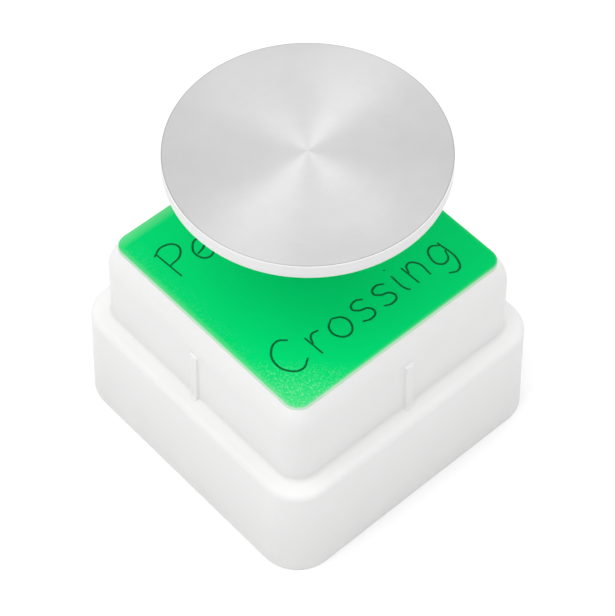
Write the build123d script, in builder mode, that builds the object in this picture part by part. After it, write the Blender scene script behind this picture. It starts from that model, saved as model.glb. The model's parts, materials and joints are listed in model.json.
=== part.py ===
from build123d import *
from math import cos, radians, sin, tan
import os

# A surface-mounted pedestrian push button, in millimetres.
# A white two-tier housing stands on the wall (z = 0). Its upper tier holds a lit green legend
# lens, and a round palm knob with a metal face stands in front of the lens on a sprung stem.
# +Z points out of the wall along the push, +X is the reading direction of the legend and +Y is up.
# The origin is the centre of the footprint on the wall.

# ---------------------------------------------------------------- driving dimensions
BASE_SIDE = 86.0  # footprint of a single wall box
BASE_CORNER = 10.8
BASE_DRAFT = 1.9  # degrees that each lower wall leans in
SHOULDER = 31.4  # height of the ledge between the tiers
SHOULDER_ROUND = 1.8
TIER_SIDE = 74.4  # upper tier where it leaves the ledge
TIER_CORNER = 6.2
TIER_DRAFT = 1.2
RIM_FOOT = 49.1  # where the walls start to bend in towards the lens
RIM_BEND = 12.4
RIM_TURN = 42.0  # degrees of the bend, of which the last few are cut away by the mouth
RIM_STEPS = 6
WALL = 2.7

RIB_WIDTH = 3.1
RIB_PROUD = 0.65
RIB_TOP = 49.6

LENS_SIDE = 68.1
LENS_CORNER = 3.7
LENS_TOP = 58.2
LENS_ROUND = 0.9
LENS_PLATE = 2.4
LENS_SKIRT = 1.8
LENS_GAP = 0.15

KNOB_RADIUS = 34.55
KNOB_TOP = 96.0
KNOB_BOTTOM = 90.8
KNOB_FOOT_ROUND = 2.0
FACE_RADIUS = 34.6
FACE_THICK = 0.4
HUB_BOTTOM = 76.0

STEM_RADIUS = 3.0
RUNNING_GAP = 0.05

# ---------------------------------------------------------------- stack inside the housing
PLATE_THICK = 3.0
DECK_BOTTOM = 45.5
DECK_TOP = 48.0
BOARD_BOTTOM = 50.6
BOARD_TOP = 52.2
BUSH_RADIUS = 4.7
BUSH_BOTTOM = 40.8
BUSH_TOP = 63.3
CLIP_BOTTOM = 38.8
CLIP_TOP = 39.8
SEAT_TOP = 26.5  # upper face of the bracket's floor, where the spring stands
SEAT_BOTTOM = 25.0
SCREW_GRID = 27.5  # cover screws and their pillars, from each centre line
FIXING_PITCH = 60.3  # standard spacing of single wall box fixings
FIXING_RADIUS = 2.3
CABLE_Y = -21.0
FIT = 0.1

# Lever switch, lying along +X under the bracket
SWITCH_LEFT = 8.0
SWITCH_RIGHT = 28.0
SWITCH_HALF_WIDTH = 3.2
SWITCH_BOTTOM = 8.4
SWITCH_TOP = 18.4
PIVOT_X = 25.5
PIVOT_Z = 19.7
LEVER_HALF_THICK = 0.3
LEVER_REST = 8.9  # degrees that the lever rises from its pivot towards the stem
LEVER_LENGTH = 28.0
PLUNGER_X = 18.5
PLUNGER_TOP = 20.3
PLUNGER_BOTTOM = 16.9
STEM_TIP = 24.4

os.makedirs("parts", exist_ok=True)


def save(piece, name):
    """Labels a finished piece and writes its STEP."""
    piece.part.label = name
    export_step(piece.part, f"parts/{name}.step")


def corners(half):
    """The four points at that distance from both centre lines."""
    return [(sx * half, sy * half) for sx in (-1, 1) for sy in (-1, 1)]


def rounded_block(low, high, side, corner, draft=0.0, mode=Mode.ADD):
    """Adds or cuts a rounded square block that leans in by draft degrees."""
    with BuildSketch(Plane.XY.offset(low)) as outline:
        RectangleRounded(side, side, corner)
    extrude(outline.sketch, amount=high - low, taper=draft, mode=mode)


def rounded_ring(low, high, outer_side, inner_side, outer_corner):
    """Adds a rounded square ring."""
    inner_corner = outer_corner - (outer_side - inner_side) / 2
    with BuildSketch(Plane.XY.offset(low)) as outline:
        RectangleRounded(outer_side, outer_side, outer_corner)
        RectangleRounded(inner_side, inner_side, inner_corner, mode=Mode.SUBTRACT)
    extrude(outline.sketch, amount=high - low)


def discs(low, high, radius, points=((0, 0),), mode=Mode.ADD):
    """Adds or cuts upright round bars at those points."""
    with BuildSketch(Plane.XY.offset(low)) as outline:
        with Locations(*points):
            Circle(radius)
    extrude(outline.sketch, amount=high - low, mode=mode)


def tube(low, high, outer, inner, points=((0, 0),)):
    """Adds upright tubes at those points."""
    with BuildSketch(Plane.XY.offset(low)) as outline:
        with Locations(*points):
            Circle(outer)
            Circle(inner, mode=Mode.SUBTRACT)
    extrude(outline.sketch, amount=high - low)


def blocks(low, high, length, width, points=((0, 0),), mode=Mode.ADD):
    """Adds or cuts upright rectangular bars at those points."""
    with BuildSketch(Plane.XY.offset(low)) as outline:
        with Locations(*points):
            Rectangle(length, width)
    extrude(outline.sketch, amount=high - low, mode=mode)


def pan_screws(points, seat, head_radius, head_height, shank_radius, length, slot):
    """Adds cross-slotted pan-head screws pointing down, their heads standing on z = seat."""
    with BuildSketch(Plane.XY.offset(seat)) as head:
        with Locations(*points):
            Circle(head_radius)
    extrude(head.sketch, amount=head_height, taper=12)
    discs(seat - length, seat, shank_radius, points)
    slot_floor = seat + head_height / 2
    blocks(slot_floor, seat + head_height, 1.4 * head_radius, slot, points, Mode.SUBTRACT)
    blocks(slot_floor, seat + head_height, slot, 1.4 * head_radius, points, Mode.SUBTRACT)


# ================================================================ housing
shoulder_side = BASE_SIDE - 2 * SHOULDER * tan(radians(BASE_DRAFT))
cavity_side = BASE_SIDE - 2 * WALL
screw_points = corners(SCREW_GRID)
board_posts = corners(20.0)
bracket_holes = [(sx * 6.0, sy * 13.5) for sx in (-1, 1) for sy in (-1, 1)]
tier_lean = (RIM_FOOT - SHOULDER) * tan(radians(TIER_DRAFT))
rim_top = RIM_FOOT + RIM_BEND * sin(radians(RIM_TURN))
rib_height = RIB_TOP - SHOULDER

with BuildPart() as housing:
    # Outside: drafted lower tier, ledge, drafted upper tier, walls that bend in to the mouth
    rounded_block(0, SHOULDER, BASE_SIDE, BASE_CORNER, BASE_DRAFT)
    fillet(housing.edges().group_by(Axis.Z)[-1], SHOULDER_ROUND)
    rounded_block(SHOULDER, RIM_FOOT, TIER_SIDE, TIER_CORNER, TIER_DRAFT)
    for step in range(RIM_STEPS + 1):
        angle = radians(step * RIM_TURN / RIM_STEPS)
        inset = tier_lean + RIM_BEND * (1 - cos(angle))
        with BuildSketch(Plane.XY.offset(RIM_FOOT + RIM_BEND * sin(angle))):
            RectangleRounded(TIER_SIDE - 2 * inset, TIER_SIDE - 2 * inset, TIER_CORNER - inset)
    loft()

    # One upright rib in the middle of each side of the upper tier
    for turn in range(4):
        with BuildSketch(Plane.XY.offset(SHOULDER)):
            with PolarLocations(TIER_SIDE / 2 - 0.6, 1, start_angle=90 * turn):
                Rectangle(2 * (RIB_PROUD + 0.6), RIB_WIDTH)
        extrude(amount=rib_height, taper=TIER_DRAFT / 2)

    # Inside: one cavity open to the wall, up to the underside of the deck
    rounded_block(0, SHOULDER - WALL, cavity_side, BASE_CORNER - WALL, BASE_DRAFT, Mode.SUBTRACT)
    rounded_block(
        SHOULDER - WALL, DECK_BOTTOM, TIER_SIDE - 2 * WALL, TIER_CORNER - WALL, TIER_DRAFT, Mode.SUBTRACT
    )

    # Tray above the deck for the lens, with a lip round its mouth
    rounded_block(DECK_TOP, DECK_TOP + 4.4, LENS_SIDE + 2.8, LENS_CORNER + 1.0, mode=Mode.SUBTRACT)
    rounded_block(
        DECK_TOP, rim_top, LENS_SIDE + 2 * LENS_GAP, LENS_CORNER + LENS_GAP, mode=Mode.SUBTRACT
    )

    # Posts under the lamp board, and the holes through the deck
    discs(DECK_TOP, BOARD_BOTTOM, 2.6, board_posts)
    discs(DECK_TOP - 0.5, BOARD_BOTTOM, 0.95, board_posts, Mode.SUBTRACT)
    discs(DECK_BOTTOM, DECK_TOP, BUSH_RADIUS + FIT, mode=Mode.SUBTRACT)
    discs(DECK_BOTTOM, DECK_TOP, 1.7, screw_points, Mode.SUBTRACT)
    discs(DECK_BOTTOM, DECK_TOP, 1.1, bracket_holes, Mode.SUBTRACT)
    blocks(DECK_BOTTOM, DECK_TOP, 12, 4.4, [(0, 26.5)], Mode.SUBTRACT)
save(housing, "housing")

# ================================================================ back plate and cable entry
pillar_top = DECK_BOTTOM - 0.2
insert_bottom = 38.0
with BuildPart() as back_plate:
    rounded_block(0, PLATE_THICK, cavity_side - 0.7, BASE_CORNER - WALL - 0.3, BASE_DRAFT)
    discs(PLATE_THICK, pillar_top, 4.2, screw_points)
    discs(insert_bottom, pillar_top, 2.35, screw_points, Mode.SUBTRACT)
    wall_fixings = [(-FIXING_PITCH / 2, 0), (FIXING_PITCH / 2, 0)]
    discs(0, PLATE_THICK, FIXING_RADIUS, wall_fixings, Mode.SUBTRACT)
    discs(0, PLATE_THICK, 6.1, [(0, CABLE_Y)], Mode.SUBTRACT)
    discs(0, 1.2, 8.3, [(0, CABLE_Y)], Mode.SUBTRACT)
    # Groove for the gasket that seals against the wall
    with BuildSketch():
        RectangleRounded(76.2, 76.2, 5.0)
        RectangleRounded(71.8, 71.8, 2.8, mode=Mode.SUBTRACT)
    extrude(amount=1.1, mode=Mode.SUBTRACT)
save(back_plate, "back_plate")

with BuildPart() as wall_gasket:
    rounded_ring(0, 1.1, 76.0, 72.0, 4.9)
save(wall_gasket, "wall_gasket")

GROMMET_BORE = 3.5
with BuildPart() as cable_grommet:
    tube(0.1, 1.15, 8.0, GROMMET_BORE, [(0, CABLE_Y)])
    tube(1.15, 3.05, 6.0, GROMMET_BORE, [(0, CABLE_Y)])
    with BuildSketch(Plane.XY.offset(3.05)):
        with Locations((0, CABLE_Y)):
            Circle(8.0)
    extrude(amount=3.6, taper=35)
    discs(3.05, 6.65, GROMMET_BORE, [(0, CABLE_Y)], Mode.SUBTRACT)
save(cable_grommet, "cable_grommet")

with BuildPart() as plate_inserts:
    tube(insert_bottom, pillar_top, 2.3, 1.5, screw_points)
save(plate_inserts, "plate_inserts")

with BuildPart() as cover_screws:
    pan_screws(screw_points, DECK_TOP, 2.7, 2.0, 1.45, 9.6, 0.7)
save(cover_screws, "cover_screws")

# ================================================================ lens and lamp stack
skirt_bottom = DECK_TOP + 1.0
lens_inner = LENS_SIDE - 2 * LENS_SKIRT
plate_underside = LENS_TOP - LENS_PLATE
LENS_HOLE = 5.1
with BuildPart() as legend_lens:
    rounded_block(skirt_bottom, LENS_TOP, LENS_SIDE, LENS_CORNER)
    fillet(legend_lens.edges().group_by(Axis.Z)[-1], LENS_ROUND)
    rounded_block(
        skirt_bottom, plate_underside, lens_inner, LENS_CORNER - LENS_SKIRT, mode=Mode.SUBTRACT
    )
    discs(plate_underside, LENS_TOP, LENS_HOLE, mode=Mode.SUBTRACT)
    # Snap nibs that catch under the housing's lip
    nib_centre = LENS_SIDE / 2
    blocks(DECK_TOP + 3.0, DECK_TOP + 4.2, 6.0, 1.8, [(0, -nib_centre), (0, nib_centre)])
    blocks(DECK_TOP + 3.0, DECK_TOP + 4.2, 1.8, 6.0, [(-nib_centre, 0), (nib_centre, 0)])
save(legend_lens, "legend_lens")

with BuildPart() as lens_gasket:
    rounded_ring(DECK_TOP, skirt_bottom, LENS_SIDE - 0.2, lens_inner + 0.2, LENS_CORNER)
save(lens_gasket, "lens_gasket")

diffuser_top = plate_underside - 0.1
diffuser_bottom = diffuser_top - 1.6
diffuser_feet = [(28.5, 0), (0, 28.5), (-28.5, 0), (0, -28.5)]
with BuildPart() as diffuser:
    rounded_block(diffuser_bottom, diffuser_top, lens_inner - 0.8, 1.8)
    discs(diffuser_bottom, diffuser_top, BUSH_RADIUS + 0.4, mode=Mode.SUBTRACT)
    discs(BOARD_TOP, diffuser_bottom, 1.4, diffuser_feet)
save(diffuser, "diffuser")

BOARD_SIDE = 61.6
with BuildPart() as led_board:
    with BuildSketch(Plane.XY.offset(BOARD_BOTTOM)):
        Rectangle(BOARD_SIDE, BOARD_SIDE)
        chamfer(vertices(), 12.0)
        Circle(BUSH_RADIUS + 0.6, mode=Mode.SUBTRACT)
        with Locations(*board_posts):
            Circle(1.1, mode=Mode.SUBTRACT)
    extrude(amount=BOARD_TOP - BOARD_BOTTOM)
save(led_board, "led_board")

LED_COUNT = 12
LED_HEIGHT = 0.9
with BuildPart() as leds:
    with BuildSketch(Plane.XY.offset(BOARD_TOP)):
        with PolarLocations(21.0, LED_COUNT, start_angle=15):
            Rectangle(3.5, 2.8)
    extrude(amount=LED_HEIGHT)
    with BuildSketch(Plane.XY.offset(BOARD_TOP + LED_HEIGHT)):
        with PolarLocations(21.0, LED_COUNT, start_angle=15):
            Circle(1.2)
    extrude(amount=0.4)
save(leds, "leds")

with BuildPart() as board_resistors:
    with BuildSketch(Plane.XY.offset(BOARD_TOP)):
        with Locations((0, -25.0)):
            with GridLocations(5.0, 1, 4, 1):
                Rectangle(1.6, 3.2)
    extrude(amount=0.6)
save(board_resistors, "board_resistors")

with BuildPart() as board_connector:
    blocks(BOARD_BOTTOM - 2.2, BOARD_BOTTOM, 9.0, 3.6, [(0, 26.5)])
save(board_connector, "board_connector")

with BuildPart() as board_screws:
    pan_screws(board_posts, BOARD_TOP, 1.9, 1.1, 0.9, 3.8, 0.5)
save(board_screws, "board_screws")

# ================================================================ stem guide and its seals
ring_seat = LENS_TOP - 1.4
with BuildPart() as guide_bush:
    tube(BUSH_BOTTOM, BUSH_TOP, BUSH_RADIUS, STEM_RADIUS + RUNNING_GAP)
    tube(DECK_TOP, DECK_TOP + 2.0, 9.0, BUSH_RADIUS - 0.2)
    discs(BUSH_TOP - 2.5, BUSH_TOP, 4.1, mode=Mode.SUBTRACT)
    with BuildSketch(Plane.XY.offset(ring_seat - 0.7)):
        Circle(BUSH_RADIUS + 1)
        Circle(4.15, mode=Mode.SUBTRACT)
    extrude(amount=1.4, mode=Mode.SUBTRACT)
save(guide_bush, "guide_bush")

with BuildPart() as bush_nut:
    with BuildSketch(Plane.XY.offset(DECK_BOTTOM - 3.2)):
        RegularPolygon(7.5, 6, major_radius=False)
        Circle(BUSH_RADIUS + RUNNING_GAP, mode=Mode.SUBTRACT)
    extrude(amount=3.2)
save(bush_nut, "bush_nut")

with BuildPart() as bush_o_ring:
    with BuildSketch(Plane.XZ):
        with Locations((4.62, ring_seat)):
            Circle(0.46)
    revolve(axis=Axis.Z)
save(bush_o_ring, "bush_o_ring")

with BuildPart() as wiper_seal:
    with BuildSketch(Plane.XZ):
        with BuildLine():
            Polyline(
                (STEM_RADIUS + 0.07, BUSH_TOP - 2.4),
                (4.05, BUSH_TOP - 2.4),
                (4.05, BUSH_TOP - 0.3),
                (3.4, BUSH_TOP + 0.5),
                (STEM_RADIUS + 0.07, BUSH_TOP + 0.5),
                close=True,
            )
        make_face()
    revolve(axis=Axis.Z)
save(wiper_seal, "wiper_seal")

WASHER_THICK = 0.3
with BuildPart() as sealing_washer:
    tube(LENS_TOP, LENS_TOP + WASHER_THICK, 6.5, LENS_HOLE)
save(sealing_washer, "sealing_washer")

NUT_FLUTES = 20
with BuildPart() as lens_nut:
    with BuildSketch(Plane.XY.offset(LENS_TOP + WASHER_THICK)):
        Circle(6.6)
        Circle(BUSH_RADIUS + RUNNING_GAP, mode=Mode.SUBTRACT)
        with PolarLocations(6.8, NUT_FLUTES):
            Circle(0.4, mode=Mode.SUBTRACT)
    extrude(amount=2.6)
save(lens_nut, "lens_nut")

with BuildPart() as bump_ring:
    tube(CLIP_TOP + 0.2, BUSH_BOTTOM, BUSH_RADIUS, STEM_RADIUS + 0.4)
save(bump_ring, "bump_ring")

# ================================================================ knob and stem
HUB_RADIUS = 7.4
WEB_BOTTOM = 90.0
SKIRT_RADIUS = 31.6
disc_bottom = KNOB_TOP - FACE_THICK - 2.4
with BuildPart() as knob_body:
    with BuildSketch(Plane.XZ):
        with BuildLine():
            Polyline(
                (STEM_RADIUS + RUNNING_GAP, HUB_BOTTOM),
                (HUB_RADIUS, HUB_BOTTOM),
                (HUB_RADIUS, HUB_BOTTOM + 6.0),
                (12.5, disc_bottom),
                (SKIRT_RADIUS, disc_bottom),
                (SKIRT_RADIUS, KNOB_BOTTOM),
                (KNOB_RADIUS, KNOB_BOTTOM),
                (KNOB_RADIUS, KNOB_TOP - FACE_THICK),
                (0, KNOB_TOP - FACE_THICK),
                (0, WEB_BOTTOM),
                (STEM_RADIUS + RUNNING_GAP, WEB_BOTTOM),
                close=True,
            )
        make_face()
        widest = vertices().group_by(Axis.X)[-1]
        fillet(widest.sort_by(Axis.Y)[0], KNOB_FOOT_ROUND)
        fillet(vertices().group_by(Axis.X)[-1].sort_by(Axis.Y)[-1], 0.25)
    revolve(axis=Axis.Z)
    # Webs between the hub and the rim, under the disc
    with BuildSketch(Plane.XY.offset(disc_bottom)):
        with PolarLocations(21.5, 12):
            Rectangle(20.6, 1.4)
    extrude(amount=-1.5)
    # Seat for the screw that holds the knob on its stem
    discs(KNOB_TOP - FACE_THICK - 2.3, KNOB_TOP - FACE_THICK, 3.6, mode=Mode.SUBTRACT)
    discs(WEB_BOTTOM, KNOB_TOP - FACE_THICK - 2.3, 1.7, mode=Mode.SUBTRACT)
save(knob_body, "knob_body")

with BuildPart() as face_plate:
    with BuildSketch(Plane.XY.offset(KNOB_TOP - FACE_THICK)):
        Circle(FACE_RADIUS)
    extrude(amount=FACE_THICK)
    chamfer(face_plate.edges().group_by(Axis.Z)[-1], 0.1)
save(face_plate, "face_plate")

with BuildPart() as knob_screw:
    pan_screws([(0, 0)], KNOB_TOP - FACE_THICK - 2.3, 3.3, 2.1, 1.45, 10.0, 0.9)
save(knob_screw, "knob_screw")

CLIP_GROOVE = 2.3
FLAT_HALF = 2.5
FLAT_TOP = 31.5
with BuildPart() as stem:
    discs(STEM_TIP, WEB_BOTTOM - 0.05, STEM_RADIUS)
    with BuildSketch(Plane.XY.offset(CLIP_BOTTOM - RUNNING_GAP)):
        Circle(STEM_RADIUS + 1)
        Circle(CLIP_GROOVE, mode=Mode.SUBTRACT)
    extrude(amount=CLIP_TOP - CLIP_BOTTOM + 2 * RUNNING_GAP, mode=Mode.SUBTRACT)
    # Flats that stop the knob turning, below a full round shank
    flat_cuts = [(0, FLAT_HALF + 2), (0, -FLAT_HALF - 2)]
    blocks(STEM_TIP, FLAT_TOP, 8, 4, flat_cuts, Mode.SUBTRACT)
    fillet(stem.edges().group_by(Axis.Z)[0], 1.0)
    discs(82.5, WEB_BOTTOM, 1.5, mode=Mode.SUBTRACT)
save(stem, "stem")

with BuildPart() as retaining_clip:
    with BuildSketch(Plane.XY.offset(CLIP_BOTTOM)):
        Circle(4.6)
        Circle(CLIP_GROOVE + RUNNING_GAP, mode=Mode.SUBTRACT)
        with Locations((4, 0)):
            Rectangle(8, 3.4, mode=Mode.SUBTRACT)
    extrude(amount=CLIP_TOP - CLIP_BOTTOM)
save(retaining_clip, "retaining_clip")

COLLAR_THICK = 0.8
with BuildPart() as spring_collar:
    tube(CLIP_BOTTOM - COLLAR_THICK, CLIP_BOTTOM, 5.6, STEM_RADIUS + RUNNING_GAP)
save(spring_collar, "spring_collar")

# The return spring, with both ends ground flat
WIRE_RADIUS = 0.45
COIL_RADIUS = 4.6
COIL_COUNT = 5.5
spring_low = SEAT_TOP
spring_high = CLIP_BOTTOM - COLLAR_THICK
with BuildPart() as return_spring:
    with BuildLine() as coil_path:
        Helix(
            pitch=(spring_high - spring_low) / COIL_COUNT,
            height=spring_high - spring_low,
            radius=COIL_RADIUS,
            center=(0, 0, spring_low),
        )
    with BuildSketch(Plane(origin=coil_path.line @ 0, z_dir=coil_path.line % 0)):
        Circle(WIRE_RADIUS)
    sweep(path=coil_path.line, is_frenet=True)
    split(bisect_by=Plane.XY.offset(spring_low), keep=Keep.TOP)
    split(bisect_by=Plane.XY.offset(spring_high), keep=Keep.BOTTOM)
save(return_spring, "return_spring")

# ================================================================ bracket and switch
cheek_inner = SWITCH_HALF_WIDTH + FIT
cheek_outer = cheek_inner + 1.5
switch_holes = [(12.0, 11.0), (24.0, 14.5)]
with BuildPart() as bracket:
    # Stirrup that hangs from the deck round the spring
    blocks(SEAT_BOTTOM, SEAT_TOP, 18, 20)
    blocks(SEAT_BOTTOM, DECK_BOTTOM, 18, 1.5, [(0, -9.25), (0, 9.25)])
    blocks(DECK_BOTTOM - 1.5, DECK_BOTTOM, 18, 8.0, [(0, -13.0), (0, 13.0)])
    # Arm and cheeks that carry the switch
    blocks(SEAT_BOTTOM, SEAT_TOP, 20, 2 * cheek_outer, [(19, 0)])
    cheek_y = (cheek_inner + cheek_outer) / 2
    blocks(SWITCH_BOTTOM + 0.6, SEAT_TOP, 18, 1.5, [(19, -cheek_y), (19, cheek_y)])
    # Hole that keys the flats of the stem
    with BuildSketch(Plane.XY.offset(SEAT_BOTTOM)):
        Circle(STEM_RADIUS + RUNNING_GAP)
        Rectangle(8, 2 * (FLAT_HALF + RUNNING_GAP), mode=Mode.INTERSECT)
    extrude(amount=SEAT_TOP - SEAT_BOTTOM, mode=Mode.SUBTRACT)
    discs(DECK_BOTTOM - 1.5, DECK_BOTTOM, 0.95, bracket_holes, Mode.SUBTRACT)
    with BuildSketch(Plane.XZ.offset(-cheek_outer)):
        with Locations(*switch_holes):
            Circle(0.95)
    extrude(amount=2 * cheek_outer, mode=Mode.SUBTRACT)
save(bracket, "bracket")

with BuildPart() as bracket_screws:
    pan_screws(bracket_holes, DECK_TOP, 1.9, 1.1, 0.9, 4.0, 0.5)
save(bracket_screws, "bracket_screws")

switch_length = SWITCH_RIGHT - SWITCH_LEFT
switch_centre = (SWITCH_LEFT + SWITCH_RIGHT) / 2
EAR_INNER = 2.25
EAR_OUTER = 3.05
PIN_RADIUS = 0.6
with BuildPart() as switch_body:
    blocks(SWITCH_BOTTOM, SWITCH_TOP, switch_length, 2 * SWITCH_HALF_WIDTH, [(switch_centre, 0)])
    ear_y = (EAR_INNER + EAR_OUTER) / 2
    ear_points = [(PIVOT_X, -ear_y), (PIVOT_X, ear_y)]
    blocks(SWITCH_TOP, PIVOT_Z + 1.3, 2.8, EAR_OUTER - EAR_INNER, ear_points)
    with BuildSketch(Plane.XZ.offset(-5)):
        with Locations((PIVOT_X, PIVOT_Z)):
            Circle(PIN_RADIUS + RUNNING_GAP)
        with Locations(*switch_holes):
            Circle(0.95)
    extrude(amount=10, mode=Mode.SUBTRACT)
    discs(PLUNGER_BOTTOM - 1.6, SWITCH_TOP, 1.05, [(PLUNGER_X, 0)], Mode.SUBTRACT)
save(switch_body, "switch_body")

with BuildPart() as switch_screws:
    with BuildSketch(Plane.XZ.offset(cheek_outer)):
        with Locations(*switch_holes):
            Circle(1.8)
    extrude(amount=1.1)
    with BuildSketch(Plane.XZ.offset(cheek_outer)):
        with Locations(*switch_holes):
            Circle(0.9)
    extrude(amount=-2 * cheek_outer)
save(switch_screws, "switch_screws")

with BuildPart() as switch_plunger:
    discs(PLUNGER_BOTTOM, PLUNGER_TOP, 1.0, [(PLUNGER_X, 0)])
    fillet(switch_plunger.edges().group_by(Axis.Z)[-1], 0.4)
save(switch_plunger, "switch_plunger")

lever_angle = radians(LEVER_REST)
along = (-cos(lever_angle), sin(lever_angle))
across = (sin(lever_angle), cos(lever_angle))


def on_lever(distance, height):
    """A point on the lever, by its distance from the pivot and its height above the mid-line."""
    x = PIVOT_X + along[0] * distance + across[0] * height
    z = PIVOT_Z + along[1] * distance + across[1] * height
    return (x, z)


with BuildPart() as switch_lever:
    with BuildSketch(Plane.XZ.offset(-2.0)):
        with BuildLine():
            Polyline(
                on_lever(0, -LEVER_HALF_THICK),
                on_lever(LEVER_LENGTH, -LEVER_HALF_THICK),
                on_lever(LEVER_LENGTH, LEVER_HALF_THICK),
                on_lever(0, LEVER_HALF_THICK),
                close=True,
            )
        make_face()
        with Locations((PIVOT_X, PIVOT_Z)):
            Circle(1.0)
    extrude(amount=4.0)
    with BuildSketch(Plane.XZ.offset(-EAR_OUTER)):
        with Locations((PIVOT_X, PIVOT_Z)):
            Circle(PIN_RADIUS)
    extrude(amount=2 * EAR_OUTER)
save(switch_lever, "switch_lever")

TERMINAL_X = [10.5, 18.0, 25.5]
with BuildPart() as switch_terminals:
    blocks(SWITCH_BOTTOM - 3.6, SWITCH_BOTTOM, 2.8, 0.5, [(x, 0) for x in TERMINAL_X])
save(switch_terminals, "switch_terminals")

# ================================================================ wiring
BLOCK_X = -4.0
BLOCK_Y = 22.0
BLOCK_TOP = 14.0
way_x = [BLOCK_X - 10.5, BLOCK_X - 3.5, BLOCK_X + 3.5, BLOCK_X + 10.5]
way_points = [(x, BLOCK_Y) for x in way_x]
with BuildPart() as terminal_block:
    blocks(PLATE_THICK, BLOCK_TOP, 29, 10.0, [(BLOCK_X, BLOCK_Y)])
    discs(BLOCK_TOP - 4.5, BLOCK_TOP, 2.2, way_points, Mode.SUBTRACT)
    blocks(6.0, BLOCK_TOP - 4.5, 4.4, 10.0, way_points, Mode.SUBTRACT)
save(terminal_block, "terminal_block")

with BuildPart() as terminal_clamps:
    blocks(6.1, BLOCK_TOP - 4.6, 4.2, 8.0, way_points)
    discs(6.1, BLOCK_TOP - 4.6, 1.3, way_points, Mode.SUBTRACT)
save(terminal_clamps, "terminal_clamps")

with BuildPart() as terminal_screws:
    discs(BLOCK_TOP - 4.6, BLOCK_TOP - 2.4, 2.0, way_points)
    discs(7.0, BLOCK_TOP - 4.6, 1.2, way_points)
    blocks(BLOCK_TOP - 3.2, BLOCK_TOP - 2.4, 4.2, 0.6, way_points, Mode.SUBTRACT)
save(terminal_screws, "terminal_screws")

LEAD_RADIUS = 0.6
lead_entry = BLOCK_Y - 5.2
lead_height = 8.0


def lead(points, start_direction, end_direction):
    """Adds one insulated wire along a smooth line through those points."""
    with BuildLine() as path:
        Spline(*points, tangents=(start_direction, end_direction))
    with BuildSketch(Plane(origin=path.line @ 0, z_dir=path.line % 0)) as section:
        Circle(LEAD_RADIUS)
    sweep(section.sketch, path=path.line)


lamp_start = (0, 0, -1)
lamp_end = (0, -1, 0)
block_back = BLOCK_Y + 4.2
with BuildPart() as lamp_leads:
    for start_x, middle_x, end_x in ((-2, -8, way_x[0]), (2, 0, way_x[1])):
        route = [
            (start_x, 26.5, 48.3),
            (start_x, 26.5, 40.0),
            (middle_x, 32.0, 22.0),
            (end_x, 29.0, 10.0),
            (end_x, block_back, lead_height),
        ]
        lead(route, lamp_start, lamp_end)
save(lamp_leads, "lamp_leads")

switch_direction = (0, 1, 0)
with BuildPart() as switch_leads:
    for terminal_x, end_x in ((TERMINAL_X[0], way_x[2]), (TERMINAL_X[1], way_x[3])):
        route = [
            (terminal_x, 0.9, 6.4),
            (terminal_x - 0.8, 5.2, 6.0),
            (end_x, 12.5, 7.6),
            (end_x, lead_entry + 1.0, lead_height),
        ]
        lead(route, switch_direction, switch_direction)
save(switch_leads, "switch_leads")
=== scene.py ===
import json
from math import cos, pi, radians, sin, tan

import bmesh
import bpy
from mathutils import Matrix, Vector


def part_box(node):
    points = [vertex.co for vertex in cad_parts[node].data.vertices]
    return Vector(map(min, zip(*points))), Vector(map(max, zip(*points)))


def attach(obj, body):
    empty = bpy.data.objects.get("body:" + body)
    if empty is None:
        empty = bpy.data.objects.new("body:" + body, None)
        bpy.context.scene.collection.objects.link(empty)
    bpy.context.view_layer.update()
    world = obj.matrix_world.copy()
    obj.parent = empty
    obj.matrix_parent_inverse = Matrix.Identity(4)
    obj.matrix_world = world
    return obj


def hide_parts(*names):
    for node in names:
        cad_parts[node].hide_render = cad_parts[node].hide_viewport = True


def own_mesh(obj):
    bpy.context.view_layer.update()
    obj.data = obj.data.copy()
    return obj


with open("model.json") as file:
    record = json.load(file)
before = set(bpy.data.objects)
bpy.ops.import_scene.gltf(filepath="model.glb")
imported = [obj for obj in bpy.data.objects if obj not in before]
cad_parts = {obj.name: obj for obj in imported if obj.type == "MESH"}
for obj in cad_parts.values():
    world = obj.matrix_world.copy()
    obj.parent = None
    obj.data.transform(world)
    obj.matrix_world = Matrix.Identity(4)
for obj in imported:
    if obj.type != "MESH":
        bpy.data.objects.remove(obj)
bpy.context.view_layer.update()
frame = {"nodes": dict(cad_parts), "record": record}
record = frame["record"]
MM = 0.001


# ---------------------------------------------------------------- sizes, in mm
def size_of(node):
    """Lowest and highest corner of a CAD node, in mm."""
    low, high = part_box(node)
    return low / MM, high / MM


# From the frame
shell_low, shell_high = size_of("housing")
lens_low, lens_high = size_of("legend_lens")
face_low, face_high = size_of("face_plate")
knob_low, knob_high = size_of("knob_body")
coil_low, coil_high = size_of("return_spring")
WALL_FACE = shell_low.z
BASE_HALF = shell_high.x
LENS_TOP = lens_high.z
LENS_FOOT = lens_low.z
FACE_RADIUS = face_high.x
FACE_TOP = face_high.z
FACE_SEAT = face_low.z
KNOB_RADIUS = knob_high.x
HUB_FOOT = knob_low.z

# Lower tier of the housing. A lean is how far a wall moves in for each mm of height.
BASE_CORNER = 10.8
BASE_LEAN = 0.0332
BASE_EDGE = 0.4
SHOULDER = 31.4
SHOULDER_ROUND = 1.8

# Upper tier, whose walls bend in from the rim's foot to the mouth
TIER_FOOT = 31.6
TIER_HALF = 37.2
TIER_CORNER = 6.2
TIER_LEAN = 0.0209
TIER_FILLET = 1.1
RIM_FOOT = 49.1
RIM_BEND = 12.4
MOUTH_HALF = 34.2
MOUTH_CORNER = 3.85

# Inside of the housing
SHELL_WALL = 2.7
SHOULDER_INSET = 1.0
DECK_TOP = 48.0
DECK_FOOT = 45.5
STEM_HOLE = 4.8

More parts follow.
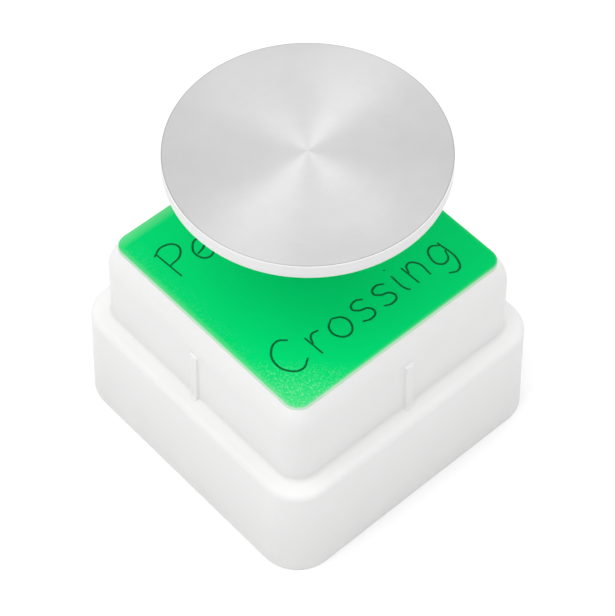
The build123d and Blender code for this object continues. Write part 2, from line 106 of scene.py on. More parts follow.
# Ribs on the upper walls
RIB_HALF = 1.45
RIB_PROUD = 0.65
RIB_FLANK = 0.30
RIB_TOP = 48.5
RIB_CREST = RIB_TOP + 0.05
RIB_END = 0.40

# Lens
LENS_HALF = 34.18
LENS_CORNER = 3.83
LENS_ROUND = 0.9
LENS_SKIRT = 1.8
LENS_PLATE = 2.4
LENS_HOLE = 5.1
LENS_HOLE_ROUND = 0.2

# Knob: a disc with a rounded foot on a flared hub, and a thin white lip round the face
KNOB_FOOT = 90.8
KNOB_ROUND = 2.0
SKIRT = 31.6
PLATE_FOOT = FACE_SEAT - 2.4
HUB_RADIUS = 7.4
HUB_NECK = HUB_FOOT + 6.0
HUB_FLARE = 12.5
BORE = 3.05
FACE_EDGE = FACE_RADIUS - 0.35
FACE_ROUND = 0.1
FACE_FOOT = FACE_SEAT + 0.02
LIP_TOP = FACE_TOP - 0.04
LIP_INNER = FACE_EDGE + 0.04

# Webs under the disc
WEB_COUNT = 12
WEB_START = 9.0
WEB_END = SKIRT + 0.4
WEB_HALF = 0.7
WEB_DEEP = 1.6
WEB_SINK = 0.3
WEB_TAPER = 0.15
WEB_TIP_HALF = 0.3
WEB_TIP_RISE = 0.2

# Return spring
WIRE_RADIUS = 0.45
SPRING_TURNS = 6.5


# ---------------------------------------------------------------- mesh helpers
def put(name, data):
    """Adds an object with that data to the scene."""
    made = bpy.data.objects.new(name, data)
    bpy.context.scene.collection.objects.link(made)
    return made


LEAST_PLAN = 0.2


def rounded_path(corners, steps=8):
    """Rounds the corners of a closed outline. Each corner is (x, z, fillet, plan radius).

    The plan radius grows and shrinks with x round a fillet, down to LEAST_PLAN.
    """
    path = []
    count = len(corners)
    for i, (x, z, fillet, plan) in enumerate(corners):
        here = Vector((x, z))
        if fillet == 0:
            path.append((x, z, plan))
            continue
        back = (Vector(corners[i - 1][:2]) - here).normalized()
        ahead = (Vector(corners[(i + 1) % count][:2]) - here).normalized()
        half = back.angle(ahead) / 2
        centre = here + (back + ahead).normalized() * fillet / sin(half)
        start = here + back * fillet / tan(half) - centre
        end = here + ahead * fillet / tan(half) - centre
        sweep = start.angle(end)
        for k in range(steps + 1):
            t = k / steps
            arm = (start * sin((1 - t) * sweep) + end * sin(t * sweep)) / sin(sweep)
            point = centre + arm
            path.append((point.x, point.y, max(plan + point.x - x, LEAST_PLAN)))
    return path


def split_long(path, least, closed=True):
    """Cuts the long stretches of an outline into pieces from that length up to twice it."""
    made = []
    count = len(path)
    for i in range(count if closed else count - 1):
        a, b = Vector(path[i]), Vector(path[(i + 1) % count])
        cuts = max(1, int((b - a).to_2d().length / least))
        made += [tuple(a.lerp(b, k / cuts)) for k in range(cuts)]
    if not closed:
        made.append(path[-1])
    return made


CORNER_STEPS = 14
LEAST_CORNER = 0.05
# Places along half a side, as shares of its straight length: close together at the rib's sides
SIDE_SHARES = (
    0.025, 0.0390, 0.0420, 0.0450, 0.0478, 0.0500, 0.0530, 0.07,
    0.10, 0.16, 0.25, 0.37, 0.5, 0.65, 0.8, 0.92,
)
SIDE_PLACES = [-share for share in reversed(SIDE_SHARES)] + [0.0] + list(SIDE_SHARES)


def square_ring(half, z, corner):
    """Points of a rounded square in plan, with the same number of points whatever its size."""
    corner = min(max(corner, LEAST_CORNER), half)
    straight = half - corner
    ring = []
    for quarter in range(4):
        turn = Matrix.Rotation(quarter * pi / 2, 2)
        for share in SIDE_PLACES:
            ring.append(turn @ Vector((straight * share, -half)))
        for k in range(CORNER_STEPS + 1):
            angle = -pi / 2 + k * (pi / 2) / CORNER_STEPS
            ring.append(turn @ Vector((straight + corner * cos(angle), -straight + corner * sin(angle))))
    return [Vector((point.x, point.y, z)) for point in ring]


def circle_ring(radius, z, count=256):
    """Points of a circle about Z."""
    turns = [2 * pi * k / count for k in range(count)]
    return [Vector((radius * cos(turn), radius * sin(turn), z)) for turn in turns]


def skin(name, rings, sharp, capped=False):
    """Makes a mesh object from rings of equal length, in mm, each joined to the next.

    It closes on itself from the last ring to the first, or ends in two discs where it is capped.
    Its edges are sharp where they turn by more than that many degrees.
    """
    mesh = bpy.data.meshes.new(name)
    work = bmesh.new()
    rows = [[work.verts.new(point * MM) for point in ring] for ring in rings]
    count = len(rings[0])
    for i in range(len(rows) - 1 if capped else len(rows)):
        a, b = rows[i], rows[(i + 1) % len(rows)]
        for k in range(count):
            n = (k + 1) % count
            work.faces.new((a[k], a[n], b[n], b[k]))
    for row in (rows[0], rows[-1]) if capped else ():
        middle = work.verts.new(sum((vert.co for vert in row), Vector()) / count)
        for k in range(count):
            work.faces.new((row[k], row[(k + 1) % count], middle))
    bmesh.ops.recalc_face_normals(work, faces=work.faces)
    work.to_mesh(mesh)
    work.free()
    mesh.shade_smooth()
    mesh.set_sharp_from_angle(angle=radians(sharp))
    return put(name, mesh)


# ---------------------------------------------------------------- material helpers
# Sockets of a Mix node that mixes colours
MIX_A = 6
MIX_B = 7
MIX_RESULT = 2


class Paint:
    """A procedural material round one Principled shader."""

    def __init__(self, name, **sockets):
        self.material = bpy.data.materials.new(name)
        self.material.use_nodes = True
        self.tree = self.material.node_tree
        self.shader = self.tree.nodes["Principled BSDF"]
        for key, value in sockets.items():
            self.shader.inputs[key.replace("_", " ")].default_value = value

    def node(self, kind, **settings):
        """Adds a node. A setting is an input's value, or else a property of the node."""
        made = self.tree.nodes.new(kind)
        for key, value in settings.items():
            if key in made.inputs:
                made.inputs[key].default_value = value
            else:
                setattr(made, key, value)
        return made

    def link(self, source, target):
        self.tree.links.new(source, target)

    def place(self, shares=(1, 1, 1)):
        """Object coordinates in mm, each times its share."""
        coords = self.node("ShaderNodeTexCoord")
        mapping = self.node("ShaderNodeMapping")
        mapping.inputs["Scale"].default_value = [share / MM for share in shares]
        self.link(coords.outputs["Object"], mapping.inputs["Vector"])
        return mapping.outputs["Vector"]

    def axes(self):
        """The X, Y and Z of object coordinates, in mm."""
        split = self.node("ShaderNodeSeparateXYZ")
        self.link(self.place(), split.inputs["Vector"])
        return split.outputs

    def noise(self, size, detail, roughness=0.5, where=None):
        """Noise whose features are about size mm across, from 0 to 1."""
        made = self.node("ShaderNodeTexNoise", Scale=1.0 / size, Detail=detail, Roughness=roughness)
        self.link(where or self.place(), made.inputs["Vector"])
        return made.outputs["Fac"]

    def remap(self, source, low_in, high_in, low_out=0.0, high_out=1.0):
        """Maps one range to another, and stops at the second one's ends."""
        made = self.node("ShaderNodeMapRange")
        ends = {"From Min": low_in, "From Max": high_in, "To Min": low_out, "To Max": high_out}
        for socket, value in ends.items():
            made.inputs[socket].default_value = value
        self.link(source, made.inputs["Value"])
        return made.outputs["Result"]

    def maths(self, operation, a, b=None):
        """One operation on two values, or on one. Each is a number or a socket."""
        made = self.node("ShaderNodeMath", operation=operation)
        for socket, value in zip(made.inputs, (a, b)):
            if value is None:
                continue
            if isinstance(value, (int, float)):
                socket.default_value = value
            else:
                self.link(value, socket)
        return made.outputs["Value"]

    def plus(self, a, b):
        return self.maths("ADD", a, b)

    def times(self, a, b):
        return self.maths("MULTIPLY", a, b)

    def power(self, a, b):
        return self.maths("POWER", a, b)

    def mix(self, share, a, b):
        """Colour a where share is 0, and colour b where it is 1."""
        made = self.node("ShaderNodeMix", data_type="RGBA")
        self.link(share, made.inputs["Factor"])
        for socket, value in ((made.inputs[MIX_A], a), (made.inputs[MIX_B], b)):
            if isinstance(value, tuple):
                socket.default_value = (*value, 1.0)
            else:
                self.link(value, socket)
        return made.outputs[MIX_RESULT]

    def colour(self, source):
        self.link(source, self.shader.inputs["Base Color"])

    def rough(self, source):
        self.link(source, self.shader.inputs["Roughness"])

    def bump(self, height, depth):
        """Bump from a 0 to 1 height, depth in mm."""
        made = self.node("ShaderNodeBump", Strength=1.0, Distance=depth * MM)
        self.link(height, made.inputs["Height"])
        self.link(made.outputs["Normal"], self.shader.inputs["Normal"])


def scaled(colour, share):
    return tuple(channel * share for channel in colour)


def moulded(name, colour, roughness, grain=0.010, mottle=0.035, painted_foot_shade=0.0, **sockets):
    """Moulded plastic: faint clouds of colour, fine grain of that depth in mm, and uneven gloss.

    Mottle is the share by which it is darker in the clouds. The foot share is painted shade: the share by
    which it is darker, in patches, towards its foot.
    """
    paint = Paint(name, Roughness=roughness, **sockets)
    cloud = paint.remap(paint.noise(18.0, 4.0), 0.35, 0.65)
    tint = paint.mix(cloud, scaled(colour, 1 - mottle), colour)
    # Painted shade: darker in patches below the shoulder, more so towards the foot of the walls
    if painted_foot_shade:
        patch = paint.remap(paint.noise(9.0, 4.0), 0.25, 0.75, 0.5, 1.0)
        share = paint.times(paint.remap(paint.axes()[2], SHOULDER - 4.0, 4.0), patch)
        tint = paint.mix(share, tint, scaled(colour, 1 - painted_foot_shade))
    paint.colour(tint)
    paint.rough(paint.remap(paint.noise(6.0, 5.0), 0.3, 0.7, roughness - 0.06, roughness + 0.06))
    paint.bump(paint.noise(0.45, 2.0), grain)
    return paint.material


def metal(name, colour, roughness, size, shares):
    """Drawn or turned metal with fine lines, which run along the axes whose share is small."""
    paint = Paint(name, Metallic=1.0, Roughness=roughness)
    lines = paint.noise(size, 4.0, 0.6, paint.place(shares))
    paint.colour(paint.mix(paint.remap(lines, 0.3, 0.7), scaled(colour, 0.90), colour))
    paint.rough(paint.remap(lines, 0.3, 0.7, roughness - 0.06, roughness + 0.08))
    paint.bump(lines, 0.004)
    return paint.material


def rubber(name, colour):
    """Matt rubber with a fine grain and paler patches."""
    paint = Paint(name, Roughness=0.75)
    paint.colour(paint.mix(paint.remap(paint.noise(2.0, 5.0), 0.3, 0.7), colour, scaled(colour, 1.6)))
    paint.bump(paint.noise(0.25, 3.0), 0.02)
    return paint.material


# ---------------------------------------------------------------- materials
def lens_material():
    """Green acrylic lit from behind, with painted light and shade across it: frosted pale along its edges
    and in one corner.
    """
    paint = Paint("green_lens", Roughness=0.55, IOR=1.49, Specular_IOR_Level=0.02, Emission_Strength=0.40)
    x, y, z = paint.axes()

    # Painted light and shade: lighter towards the lower left corner and darker towards the upper right, as
    # the light falls and the knob shades it; also faintly cloudy
    cloud = paint.remap(paint.noise(22.0, 3.0), 0.3, 0.7, -0.06, 0.06)
    painted_light_slope = paint.remap(paint.plus(x, paint.times(y, 0.6)), 36.0, -44.0)
    body = paint.mix(paint.plus(painted_light_slope, cloud), (0.0, 0.375, 0.088), (0.0, 0.475, 0.118))

    # Frosting on the upper, left, right and lower sides and down the rounded edge. Each row has
    # the axis, where the frosting starts and is full, the power of its rise, and its full share.
    frost = 0.0
    for axis, start, full, power, share in (
        (y, LENS_HALF - 3.6, LENS_HALF - 0.3, 1.0, 0.16),
        (x, -LENS_HALF + 1.7, -LENS_HALF + 0.3, 2.0, 0.09),
        (x, LENS_HALF - 1.6, LENS_HALF - 0.2, 2.0, 0.04),
        (y, -LENS_HALF + 1.0, -LENS_HALF + 0.1, 2.0, 0.05),
        (z, LENS_TOP - 0.02, LENS_TOP - 0.72, 1.8, 0.62),
    ):
        band = paint.times(paint.power(paint.remap(axis, start, full), power), share)
        frost = paint.maths("MAXIMUM", frost, band)

    # More of it in the lower left corner
    near = paint.remap(paint.plus(x, y), -LENS_HALF * 1.36, -LENS_HALF * 1.96)
    frost = paint.plus(frost, paint.times(paint.power(near, 2.2), 0.07))

    # Fine grain in that corner and along the left side
    grain = paint.remap(paint.noise(0.40, 2.0), 0.50, 0.70)
    left = paint.remap(x, -LENS_HALF + 6.0, -LENS_HALF + 1.0, 0.0, 0.2)
    frosted = paint.maths("MAXIMUM", paint.remap(near, 0.0, 0.6), left)
    frost = paint.plus(frost, paint.times(paint.times(grain, frosted), 0.19))

    # A few small bright specks
    speckle = paint.node("ShaderNodeTexVoronoi", Scale=1.0 / 0.6)
    paint.link(paint.place(), speckle.inputs["Vector"])
    dot = paint.remap(speckle.outputs["Distance"], 0.20, 0.08)
    kept = paint.remap(paint.noise(0.9, 1.0), 0.62, 0.68)
    patch = paint.remap(paint.noise(7.0, 2.0), 0.60, 0.70, 0.0, 0.14)
    frost = paint.plus(frost, paint.times(paint.times(dot, kept), patch))

    tint = paint.mix(frost, body, (0.58, 0.60, 0.57))
    paint.colour(tint)
    paint.link(tint, paint.shader.inputs["Emission Color"])
    paint.bump(paint.noise(0.6, 3.0), 0.004)
    return paint.material


def spun_material():
    """Spun metal: fine circular turning lines that spread light into broad sectors, duller outwards."""
    paint = Paint("spun_metal", Anisotropic=0.86, Anisotropic_Rotation=0.25)
    tangent = paint.node("ShaderNodeTangent", direction_type="RADIAL", axis="Z")
    paint.link(tangent.outputs["Tangent"], paint.shader.inputs["Tangent"])
    x, y = paint.axes()[:2]
    radius = paint.maths("SQRT", paint.plus(paint.times(x, x), paint.times(y, y)))

    # Turning lines, and short marks of the tool that follow them
    turning = paint.node("ShaderNodeTexNoise", noise_dimensions="1D", Scale=5.0, Detail=3.0)
    paint.link(radius, turning.inputs["W"])
    lines = turning.outputs["Fac"]
    arc = paint.node("ShaderNodeCombineXYZ")
    reach = paint.plus(radius, 0.5)
    for socket, side in (("X", x), ("Y", y)):
        paint.link(paint.times(paint.maths("DIVIDE", side, reach), 3.5), arc.inputs[socket])
    paint.link(paint.times(radius, 1.7), arc.inputs["Z"])
    marks = paint.noise(1.0, 4.0, 0.6, arc.outputs["Vector"])

    # Clouds, lines and marks darken it a little, and it is darker outwards and at its very edge
    shade = paint.remap(paint.noise(9.0, 5.0), 0.33, 0.67, 0.955, 1.0)
    for layer in (
        paint.remap(lines, 0.3, 0.7, 0.985, 1.0),
        paint.remap(marks, 0.35, 0.65, 0.977, 1.0),
        paint.remap(radius, 2.0, FACE_RADIUS, 0.675, 0.565),
        paint.remap(radius, FACE_EDGE - 0.22, FACE_EDGE - 0.12, 1.0, 0.80),
    ):
        shade = paint.times(shade, layer)
    colour = paint.node("ShaderNodeCombineColor")
    for socket in colour.inputs[:3]:
        paint.link(shade, socket)
    paint.colour(colour.outputs["Color"])

    rough = paint.remap(radius, 0.0, FACE_RADIUS, 0.32, 0.54)
    paint.rough(paint.plus(rough, paint.remap(marks, 0.35, 0.65, -0.02, 0.02)))
    paint.link(paint.remap(radius, 3.0, FACE_RADIUS, 1.0, 0.42), paint.shader.inputs["Metallic"])
    paint.bump(lines, 0.001)
    return paint.material


def ink_material():
    """Dark green printing ink, a little uneven."""
    paint = Paint("legend_ink", Roughness=0.6, Specular_IOR_Level=0.1)
    patch = paint.remap(paint.noise(1.2, 4.0), 0.3, 0.7)
    paint.colour(paint.mix(patch, (0.0, 0.095, 0.026), (0.0, 0.14, 0.04)))
    paint.bump(paint.noise(0.3, 2.0), 0.01)
    return paint.material


slot_materials = {
    # The white shell's colour carries painted shade that darkens its walls towards the foot
    "white_shell": moulded(
        "white_shell", (0.78, 0.78, 0.776), 0.50, 0.006, 0.012, painted_foot_shade=0.09, Specular_IOR_Level=0.2
    ),
    "white_knob": moulded("white_knob", (0.77, 0.77, 0.77), 0.45, 0.004, 0.012, Specular_IOR_Level=0.2),
    "green_lens": lens_material(),
    "spun_metal": spun_material(),
    "grey_plate": moulded("grey_plate", (0.24, 0.25, 0.26), 0.55, 0.03),
    "bright_steel": metal("bright_steel", (0.62, 0.63, 0.64), 0.28, 0.6, (1, 1, 0.15)),
    "brass": metal("brass", (0.72, 0.52, 0.22), 0.26, 0.4, (0.2, 0.2, 1)),
    "black_rubber": rubber("black_rubber", (0.018, 0.018, 0.018)),
    "opal_plastic": moulded("opal_plastic", (0.74, 0.75, 0.72), 0.5),
    "black_plastic": moulded("black_plastic", (0.02, 0.02, 0.022), 0.45),
    "board_green": moulded("board_green", (0.01, 0.11, 0.04), 0.35, 0.02, 0.25),
    "led_white": moulded("led_white", (0.85, 0.82, 0.60), 0.25, 0.0),
    "red_plastic": moulded("red_plastic", (0.42, 0.01, 0.01), 0.35),
    "red_wire": moulded("red_wire", (0.40, 0.01, 0.01), 0.45),
    "blue_wire": moulded("blue_wire", (0.01, 0.03, 0.30), 0.45),
}
legend_ink = ink_material()

for part in record["subparts"]:
    cad = frame["nodes"][part["node"]]
    cad.data.materials.clear()
    cad.data.materials.append(slot_materials[part["material_slot"]])


def dress(piece, body, slot, stands_for=None):
    """Gives a new piece its material and body, and hides the CAD node that it stands for, if any."""
    piece.data.materials.append(slot_materials[slot])
    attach(piece, body)
    if stands_for:
        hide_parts(stands_for)


# ---------------------------------------------------------------- housing shell
def upper_wall(z):
    """Corner of the outline on the upper wall at that height."""
    lean = TIER_LEAN * (z - TIER_FOOT)
    return TIER_HALF - lean, z, 0, TIER_CORNER - lean


# Heights of the rings round the top of the ribs, from RIB_TOP
RIB_TOP_PLACES = (-0.5, -0.35, -0.22, -0.1, 0.0, 0.06)

# Outside of the shell, from its foot up to where the wall bends in towards the mouth
base_lean = BASE_LEAN * SHOULDER
outside = rounded_path([
    (BASE_HALF - SHELL_WALL, WALL_FACE, 0, BASE_CORNER - SHELL_WALL),
    (BASE_HALF, WALL_FACE, BASE_EDGE, BASE_CORNER),
    (BASE_HALF - base_lean, SHOULDER, SHOULDER_ROUND, BASE_CORNER - base_lean),
    (TIER_HALF, TIER_FOOT, TIER_FILLET, TIER_CORNER),
    *(upper_wall(RIB_TOP + rise) for rise in RIB_TOP_PLACES),
    upper_wall(RIM_FOOT),
])
bend_half, _, bend_corner = outside[-1]

# Inside of the shell, from the mouth down to the deck and back to the start of the outside
inside = [
    (MOUTH_HALF, DECK_TOP, MOUTH_CORNER),
    (STEM_HOLE, DECK_TOP, STEM_HOLE),
    (STEM_HOLE, DECK_FOOT, STEM_HOLE),
    (TIER_HALF - SHELL_WALL, DECK_FOOT, TIER_CORNER - SHELL_WALL),
    (TIER_HALF - SHELL_WALL, SHOULDER - SHELL_WALL, TIER_CORNER - SHELL_WALL),
    (
        BASE_HALF - SHELL_WALL - SHOULDER_INSET,
        SHOULDER - SHELL_WALL,
        BASE_CORNER - SHELL_WALL - SHOULDER_INSET,
    ),
    (BASE_HALF - SHELL_WALL, WALL_FACE, BASE_CORNER - SHELL_WALL),
]


def rib_height(across, z):
    """How far the rib stands out at that place on the upper wall."""
    side = min(max((RIB_HALF - abs(across)) / RIB_FLANK, 0.0), 1.0)
    end = min(max((RIB_CREST - z) / RIB_END, 0.0), 1.0)
    return RIB_PROUD * side * side * (3 - 2 * side) * end * (2 - end)


def raise_ribs(ring):
    """Moves the middle of each side of a ring of the upper wall out, as far as the rib stands there."""
    per_side = len(SIDE_PLACES) + CORNER_STEPS + 1
    for k, point in enumerate(ring):
        quarter, place = divmod(k, per_side)
        if place < len(SIDE_PLACES):
            out = Matrix.Rotation(quarter * pi / 2, 3, "Z") @ Vector((0, -1, 0))
            point += out * rib_height(SIDE_PLACES[place] * (bend_half - bend_corner), point.z)


def bend_ring(degrees):
    """A ring of the wall where it has bent in by that angle."""
    inset = RIM_BEND * (1 - cos(radians(degrees)))
    return square_ring(bend_half - inset, RIM_FOOT + RIM_BEND * sin(radians(degrees)), bend_corner - inset)


def bend_height(point):
    """Height of the bent wall above a point in plan."""
    reach = Vector(max(abs(c) - bend_half + bend_corner, 0.0) for c in (point.x, point.y)).length
    return RIM_FOOT + (RIM_BEND ** 2 - (RIM_BEND - bend_corner + reach) ** 2) ** 0.5


def mouth_ring(widen, sink):
    """A ring of the mouth, widened by one distance and below the bent wall by the other."""
    ring = square_ring(MOUTH_HALF + widen, 0, MOUTH_CORNER + widen)
    for point in ring:
        point.z = bend_height(point) - sink
    return ring


# Degrees of the bend at each of its rings, and the widening and depth of each ring of the mouth
BEND_PLACES = (1.6, 3.5, 5, 8, 11, 14, 17, 20, 23, 26, 29, 32, 34.5)
MOUTH_PLACES = ((0.2, 0.0), (0.08, 0.02), (0.0, 0.12))
# Least length of the pieces that long stretches are cut into, outside and inside
WALL_PIECE = 1.6
INNER_PIECE = 3.0

wall_rings = [square_ring(*place) for place in split_long(outside, WALL_PIECE, closed=False)]
for ring in wall_rings:
    if ring[0].z > TIER_FOOT:
        raise_ribs(ring)
bend_rings = [bend_ring(degrees) for degrees in BEND_PLACES]
mouth_rings = [mouth_ring(widen, sink) for widen, sink in MOUTH_PLACES]
inner_rings = [square_ring(*place) for place in split_long(inside, INNER_PIECE, closed=False)[:-1]]
shell = skin("housing_shell", wall_rings + bend_rings + mouth_rings + inner_rings, sharp=50)
dress(shell, "base", "white_shell", "housing")

# ---------------------------------------------------------------- legend lens
LENS_PIECE = 2.5
lens_path = rounded_path([
    (LENS_HALF - LENS_SKIRT, LENS_FOOT, 0, LENS_CORNER - LENS_SKIRT),
    (LENS_HALF, LENS_FOOT, 0, LENS_CORNER),
    (LENS_HALF, LENS_TOP, LENS_ROUND, LENS_CORNER),
    (LENS_HOLE, LENS_TOP, LENS_HOLE_ROUND, LENS_HOLE),
    (LENS_HOLE, LENS_TOP - LENS_PLATE, 0, LENS_HOLE),
    (LENS_HALF - LENS_SKIRT, LENS_TOP - LENS_PLATE, 0, LENS_CORNER - LENS_SKIRT),
])
lens = skin("lens_body", [square_ring(*place) for place in split_long(lens_path, LENS_PIECE)], sharp=50)
dress(lens, "base", "green_lens", "legend_lens")

# ---------------------------------------------------------------- generic legend
# Each glyph is an advance and its strokes, in units of the small letters' height
GLYPHS = {
    "P": (1.25, [
        [(0.05, 1.5), (0.12, 0.0)],
        [(-0.08, 1.42), (0.45, 1.62), (0.95, 1.3), (0.75, 0.85), (0.1, 0.68)],
    ]),
    "C": (1.45, [
        [(1.1, 1.35), (0.75, 1.58), (0.3, 1.4), (0.02, 0.85), (0.18, 0.25), (0.62, -0.02), (1.12, 0.22)],
    ]),
    "e": (1.15, [
        [(0.14, 0.42), (0.55, 0.55), (0.78, 0.78), (0.56, 1.02), (0.2, 0.82), (0.06, 0.42), (0.32, 0.02),
         (0.88, 0.2)],
    ]),
    "d": (1.2, [
        [(0.78, 0.78), (0.42, 0.98), (0.08, 0.6), (0.16, 0.08), (0.5, 0.05), (0.8, 0.5)],
        [(0.82, 1.6), (0.8, 0.3), (0.95, 0.0)],
    ]),
    "s": (1.05, [
        [(0.78, 0.88), (0.45, 1.02), (0.14, 0.82), (0.3, 0.58), (0.66, 0.42), (0.72, 0.12), (0.4, -0.02),
         (0.05, 0.1)],
    ]),
    "t": (0.85, [
        [(0.35, 1.42), (0.3, 0.3), (0.42, 0.0), (0.7, 0.1)],
        [(0.0, 0.98), (0.68, 1.0)],
    ]),
    "r": (0.95, [
        [(0.1, 1.0), (0.14, 0.0)],
        [(0.14, 0.55), (0.4, 0.95), (0.74, 0.92)],
    ]),
    "i": (0.55, [
        [(0.12, 0.98), (0.16, 0.12), (0.26, 0.0)],
        [(0.1, 1.38), (0.14, 1.34)],
    ]),
    "a": (1.2, [
        [(0.76, 0.8), (0.4, 1.0), (0.08, 0.6), (0.16, 0.08), (0.48, 0.05), (0.78, 0.55)],
        [(0.78, 0.98), (0.78, 0.3), (0.95, 0.0)],
    ]),
    "n": (1.15, [
        [(0.1, 1.0), (0.14, 0.0)],
        [(0.14, 0.6), (0.42, 0.98), (0.72, 0.8), (0.76, 0.0)],
    ]),
    "o": (1.15, [
        [(0.46, 1.0), (0.1, 0.72), (0.1, 0.22), (0.46, -0.02), (0.84, 0.24), (0.84, 0.74), (0.46, 1.0)],
    ]),
    "g": (1.15, [
        [(0.78, 0.82), (0.42, 1.0), (0.08, 0.6), (0.18, 0.1), (0.52, 0.08), (0.78, 0.5)],
        [(0.8, 0.98), (0.8, -0.2), (0.5, -0.55), (0.1, -0.42)],
    ]),
}
SMALL_HEIGHT = 6.3
LAST_ADVANCE = 0.9
INK_HALF = 0.29
INK_LIFT = 0.02
# Shares of a stroke's round section that are left of its height, and of its width at its ends
INK_FLATTENED = 0.1
STROKE_END = 0.8


def write(name, word, start_x, end_x, baseline):
    """Writes a word on the lens as thin flat strokes between start_x and end_x, in mm."""
    curve = bpy.data.curves.new(name, "CURVE")
    curve.dimensions = "3D"
    curve.bevel_depth = INK_HALF
    curve.bevel_resolution = 3
    curve.use_fill_caps = True
    step = (end_x - start_x) / (sum(GLYPHS[letter][0] for letter in word[:-1]) + LAST_ADVANCE)
    pen = start_x
    for letter in word:
        advance, strokes = GLYPHS[letter]
        for stroke in strokes:
            spline = curve.splines.new("BEZIER")
            spline.resolution_u = 10
            spline.bezier_points.add(len(stroke) - 1)
            for point, (u, v) in zip(spline.bezier_points, stroke):
                point.co = (pen + u * SMALL_HEIGHT, baseline + v * SMALL_HEIGHT, 0)
                point.handle_left_type = "AUTO"
                point.handle_right_type = "AUTO"
            spline.bezier_points[0].radius = STROKE_END
            spline.bezier_points[-1].radius = STROKE_END
        pen += advance * step
    line = put(name, curve)
    bpy.context.view_layer.update()
    mesh = bpy.data.meshes.new_from_object(line.evaluated_get(bpy.context.evaluated_depsgraph_get()))
    bpy.data.objects.remove(line)
    mesh.transform(Matrix.Diagonal((MM, MM, INK_FLATTENED * MM, 1)))
    mesh.transform(Matrix.Translation((0, 0, (LENS_TOP + INK_LIFT) * MM)))
    mesh.materials.append(legend_ink)
    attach(put(name, mesh), "base")


write("legend_upper", "Pedestrian", start_x=-28.8, end_x=31.0, baseline=14.6)
write("legend_lower", "Crossing", start_x=-28.6, end_x=26.5, baseline=-25.6)

# ---------------------------------------------------------------- knob
knob_path = rounded_path([
    (BORE, HUB_FOOT, 0.2, 0),
    (HUB_RADIUS, HUB_FOOT, 0.7, 0),
    (HUB_RADIUS, HUB_NECK, 5.0, 0),
    (HUB_FLARE, PLATE_FOOT, 2.0, 0),
    (SKIRT, PLATE_FOOT, 0.8, 0),
    (SKIRT, KNOB_FOOT, 0.6, 0),
    (KNOB_RADIUS, KNOB_FOOT, KNOB_ROUND, 0),
    (KNOB_RADIUS, LIP_TOP, 0.15, 0),
    (LIP_INNER, LIP_TOP, 0.03, 0),
    (LIP_INNER, FACE_SEAT, 0, 0),
    (BORE, FACE_SEAT, 0, 0),
])
knob = skin("knob_shell", [circle_ring(radius, z) for radius, z, _ in knob_path], sharp=40)
dress(knob, "knob", "white_knob", "knob_body")


def add_web(work, turn):
    """Adds one web under the disc, from the hub's flare to the rim, as a bar with a narrowed foot."""
    spun = Matrix.Rotation(turn, 4, "Z")
    side = [
        (WEB_HALF, WEB_SINK),
        (WEB_HALF - WEB_TAPER, -WEB_DEEP + WEB_TIP_RISE),
        (WEB_TIP_HALF, -WEB_DEEP),
    ]
    outline = [(-across, rise) for across, rise in side] + side[::-1]
    ends = []
    for reach in (WEB_START, WEB_END):
        corners = [Vector((reach, across, PLATE_FOOT + rise)) * MM for across, rise in outline]
        ends.append([work.verts.new(spun @ corner) for corner in corners])
    inner, outer = ends
    for k in range(len(outline)):
        n = (k + 1) % len(outline)
        work.faces.new((inner[k], outer[k], outer[n], inner[n]))
    work.faces.new(inner)
    work.faces.new(outer[::-1])


web_mesh = bpy.data.meshes.new("knob_webs")
web_work = bmesh.new()
for turn in range(WEB_COUNT):
    add_web(web_work, turn * 2 * pi / WEB_COUNT)
bmesh.ops.recalc_face_normals(web_work, faces=web_work.faces)
web_work.to_mesh(web_mesh)
web_work.free()
dress(put("knob_webs", web_mesh), "knob", "white_knob")

# Spun face: a flat disc set inside the knob's thin white lip, with a crisp, barely broken edge
FACE_SHARES = (0.004, 0.02, 0.06, 0.12, 0.2, 0.3, 0.4, 0.5, 0.6, 0.7, 0.8, 0.88, 0.94, 0.975, 0.99)
FACE_EDGE_STEPS = 4
face_rings = [circle_ring(FACE_EDGE * share, FACE_TOP) for share in FACE_SHARES]
for middle, first in ((FACE_TOP - FACE_ROUND, 0), (FACE_FOOT + FACE_ROUND, 90)):
    for k in range(FACE_EDGE_STEPS + 1):
        turn = radians(first + 90 / FACE_EDGE_STEPS * k)
        edge = FACE_EDGE - FACE_ROUND + FACE_ROUND * sin(turn)
        face_rings.append(circle_ring(edge, middle + FACE_ROUND * cos(turn)))
face_rings.append(circle_ring(FACE_EDGE * 0.5, FACE_FOOT))
face = skin("spun_face", face_rings, sharp=40, capped=True)
dress(face, "knob", "spun_metal", "face_plate")

# ---------------------------------------------------------------- return spring
TURN_STEPS = 40
WIRE_SIDES = 16
coil_radius = coil_high.x - WIRE_RADIUS
wire_low = coil_low.z + WIRE_RADIUS
wire_high = coil_high.z - WIRE_RADIUS
pitch = (wire_high - wire_low - 4 * WIRE_RADIUS) / (SPRING_TURNS - 2)


def wire_height(turns):
    """Height of the wire's middle after so many turns. The first and last turns are closed."""
    closed = min(turns, 1.0) + max(turns - SPRING_TURNS + 1, 0.0)
    opened = min(max(turns - 1, 0.0), SPRING_TURNS - 2)
    return wire_low + 2 * WIRE_RADIUS * closed + pitch * opened


coil_rings = []
for step in range(int(SPRING_TURNS * TURN_STEPS) + 1):
    turns = step / TURN_STEPS
    height = wire_height(turns)
    spun = Matrix.Rotation(2 * pi * turns, 3, "Z")
    wire = circle_ring(WIRE_RADIUS, 0, WIRE_SIDES)
    coil_rings.append([spun @ Vector((coil_radius + point.x, 0, height + point.y)) for point in wire])
spring = skin("coil_spring", coil_rings, sharp=35, capped=True)
dress(spring, "base", "bright_steel", "return_spring")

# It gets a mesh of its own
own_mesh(spring)

# ---------------------------------------------------------------- floor, sky and lights, in metres
FLOOR_HALF = 6.0
HORIZON = 0.22
ZENITH = 1.48
TARGET = Vector((0, 0, 0.03))


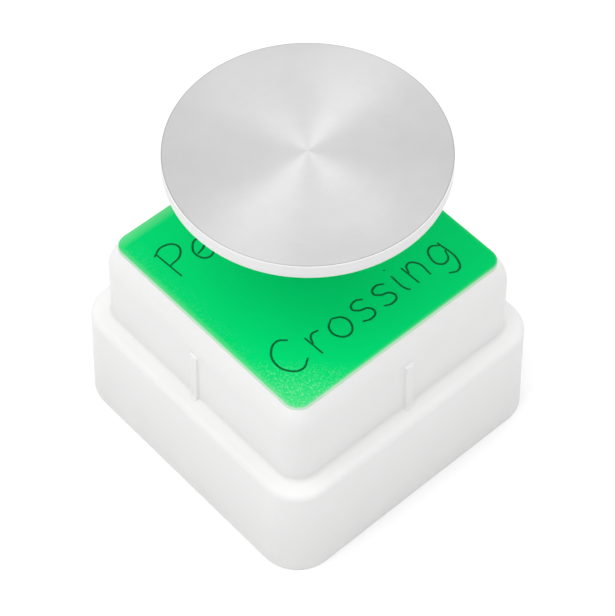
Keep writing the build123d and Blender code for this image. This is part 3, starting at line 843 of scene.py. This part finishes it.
def pale_floor():
    """A plain matt white floor that glows faintly."""
    paint = Paint(
        "floor_white", Base_Color=(0.90, 0.90, 0.90, 1), Roughness=0.9, Specular_IOR_Level=0.1,
        Emission_Color=(1, 1, 1, 1), Emission_Strength=0.04,
    )
    mesh = bpy.data.meshes.new("floor")
    corners = [(x * FLOOR_HALF, y * FLOOR_HALF, 0) for x, y in ((-1, -1), (1, -1), (1, 1), (-1, 1))]
    mesh.from_pydata(corners, [], [(0, 1, 2, 3)])
    mesh.materials.append(paint.material)
    put("floor", mesh)


def studio_sky():
    """A dome that is brighter overhead than at the horizon."""
    world = bpy.data.worlds.new("studio")
    world.use_nodes = True
    sky = world.node_tree
    background = sky.nodes["Background"]
    coords = sky.nodes.new("ShaderNodeTexCoord")
    split = sky.nodes.new("ShaderNodeSeparateXYZ")
    sky.links.new(coords.outputs["Generated"], split.inputs["Vector"])
    fade = sky.nodes.new("ShaderNodeMapRange")
    for socket, value in (("From Min", 0.0), ("From Max", 1.0), ("To Min", HORIZON), ("To Max", ZENITH)):
        fade.inputs[socket].default_value = value
    sky.links.new(split.outputs["Z"], fade.inputs["Value"])
    background.inputs["Color"].default_value = (1, 1, 1, 1)
    sky.links.new(fade.outputs["Result"], background.inputs["Strength"])
    bpy.context.scene.world = world


def softbox(name, place, width, height, watts):
    """A rectangular studio light aimed at the object."""
    lamp = bpy.data.lights.new(name, "AREA")
    lamp.shape = "RECTANGLE"
    lamp.size = width
    lamp.size_y = height
    lamp.energy = watts
    made = put(name, lamp)
    made.location = place
    made.rotation_mode = "QUATERNION"
    made.rotation_quaternion = (TARGET - Vector(place)).to_track_quat("-Z", "Y")


pale_floor()
studio_sky()
softbox("key", place=(-0.62, 0.22, 1.36), width=1.0, height=0.8, watts=5.6)
softbox("fill", place=(0.606, -0.225, 1.383), width=1.0, height=0.7, watts=1.9)

# ---------------------------------------------------------------- camera, in metres; its lens in mm
CAMERA_AZIMUTH = radians(-42.17)
CAMERA_ELEVATION = radians(53.07)
CAMERA_ROLL = radians(0.24)
CAMERA_DISTANCE = 0.62
CAMERA_LENS = 142.0
CAMERA_SIDE = 0.00010
CAMERA_LIFT = 0.00289

level = Vector((cos(CAMERA_AZIMUTH), sin(CAMERA_AZIMUTH), 0))
back = Vector((level.y, -level.x, 0)) * cos(CAMERA_ELEVATION) + Vector((0, 0, sin(CAMERA_ELEVATION)))
upright = back.cross(level)
right = level * cos(CAMERA_ROLL) + upright * sin(CAMERA_ROLL)
up = upright * cos(CAMERA_ROLL) - level * sin(CAMERA_ROLL)
camera_data = bpy.data.cameras.new("camera")
camera_data.sensor_width = 36.0
camera_data.lens = CAMERA_LENS
camera_data.clip_start = 0.01
camera_data.clip_end = 50.0
camera = put("camera", camera_data)
camera.matrix_world = Matrix((right, up, back)).transposed().to_4x4()
camera.location = TARGET + right * CAMERA_SIDE + up * CAMERA_LIFT + back * CAMERA_DISTANCE
bpy.context.scene.camera = camera
bpy.context.scene.view_settings.view_transform = "Standard"
